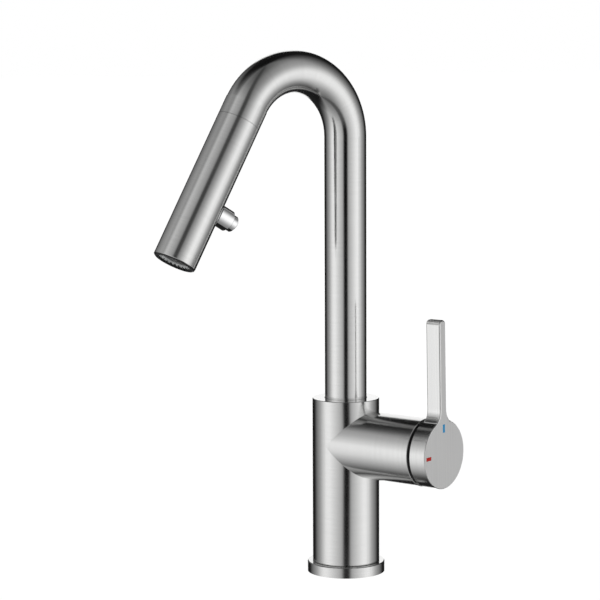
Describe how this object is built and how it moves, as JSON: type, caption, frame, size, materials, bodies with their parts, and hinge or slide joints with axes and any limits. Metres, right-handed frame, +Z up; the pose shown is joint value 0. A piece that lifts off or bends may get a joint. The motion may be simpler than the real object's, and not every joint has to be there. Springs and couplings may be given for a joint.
{
  "type": "pull-down kitchen faucet",
  "caption": "Deck-mounted kitchen mixer with a swinging high-arc spout, a pull-down spray head with a side button, and a side lever that turns for flow and warmth.",
  "frame": {"origin": "centre of the base on the deck plane, on the upright body's axis", "axes": "+Z up along the body's axis, -Y towards the spray head with the spout straight ahead, the valve and handle axis 15 degrees from +X towards +Y"},
  "size_m": [0.1095, 0.1911, 0.3505],
  "materials": {
    "brushed_steel": "brushed satin stainless steel, brushed round the turned parts",
    "polished_chrome": "polished bright plating",
    "bright_steel": "plain bright steel",
    "brass": "machined brass",
    "black_plastic": "moulded black plastic",
    "grey_plastic": "moulded light grey plastic",
    "white_plastic": "moulded natural acetal",
    "mesh_grey": "fine grey mesh",
    "ceramic": "lapped alumina ceramic",
    "rubber": "black rubber",
    "hose_braid": "braided nylon sheath over a rubber hose",
    "cold_blue": "blue enamel",
    "hot_red": "red enamel"
  },
  "bodies": {
    "body": {"base_ring": "brushed_steel", "base_gasket": "rubber", "base_plug": "brass", "body_shell": "brushed_steel", "hose_guide": "black_plastic", "cold_inlet_tube": "bright_steel", "hot_inlet_tube": "bright_steel", "outlet_tube": "bright_steel", "valve_block": "brass", "port_seals": "rubber", "cartridge_base": "black_plastic", "cartridge_housing": "white_plastic", "fixed_disc": "ceramic", "retaining_nut": "brass", "handle_glide_ring": "black_plastic", "upper_glide": "white_plastic", "lower_glide": "white_plastic", "swivel_screw": "bright_steel", "hose_tail": "brass"},
    "spout": {"spout_tube": "brushed_steel", "spout_foot": "brass", "dock_socket": "black_plastic", "hose": "hose_braid"},
    "handle": {"handle": "brushed_steel", "stem": "brass", "disc_carrier": "black_plastic", "moving_disc": "ceramic", "stem_seal": "rubber", "handle_screw": "bright_steel", "screw_plug": "grey_plastic", "cold_mark": "cold_blue", "hot_mark": "hot_red"},
    "spray_head": {"head_shell": "brushed_steel", "docking_nose": "black_plastic", "hose_ferrule": "bright_steel", "hose_nut": "brass", "inlet_washer": "rubber", "check_valve": "white_plastic", "spray_core": "grey_plastic", "core_seals": "rubber", "collar_gasket": "rubber", "button_collar": "polished_chrome", "nozzle_ring": "black_plastic", "spray_plate": "grey_plastic", "aerator": "white_plastic", "aerator_mesh": "mesh_grey", "button_spring": "bright_steel"},
    "button": {"button_plunger": "polished_chrome", "diverter_spool": "brass", "spool_seals": "rubber"}
  },
  "joints": [
    {"name": "spout_swivel", "type": "hinge", "parent": "body", "child": "spout", "pos_m": [0, 0, 0.1], "axis": [0, 0, 1], "range_deg": [-180, 180]},
    {"name": "handle_turn", "type": "hinge", "parent": "body", "child": "handle", "pos_m": [0, 0, 0.088], "axis": [0.9659, 0.2588, 0], "range_deg": [0, 90]},
    {"name": "head_pull", "type": "slide", "parent": "spout", "child": "spray_head", "axis": [0, -0.5, -0.866], "range_m": [0, 0.24], "deforming": ["hose"]},
    {"name": "button_press", "type": "slide", "parent": "spray_head", "child": "button", "axis": [0, -0.866, 0.5], "range_m": [0, 0.0025], "stiffness_N_per_m": 500, "springref_m": -0.002, "deforming": ["button_spring"]}
  ]
}
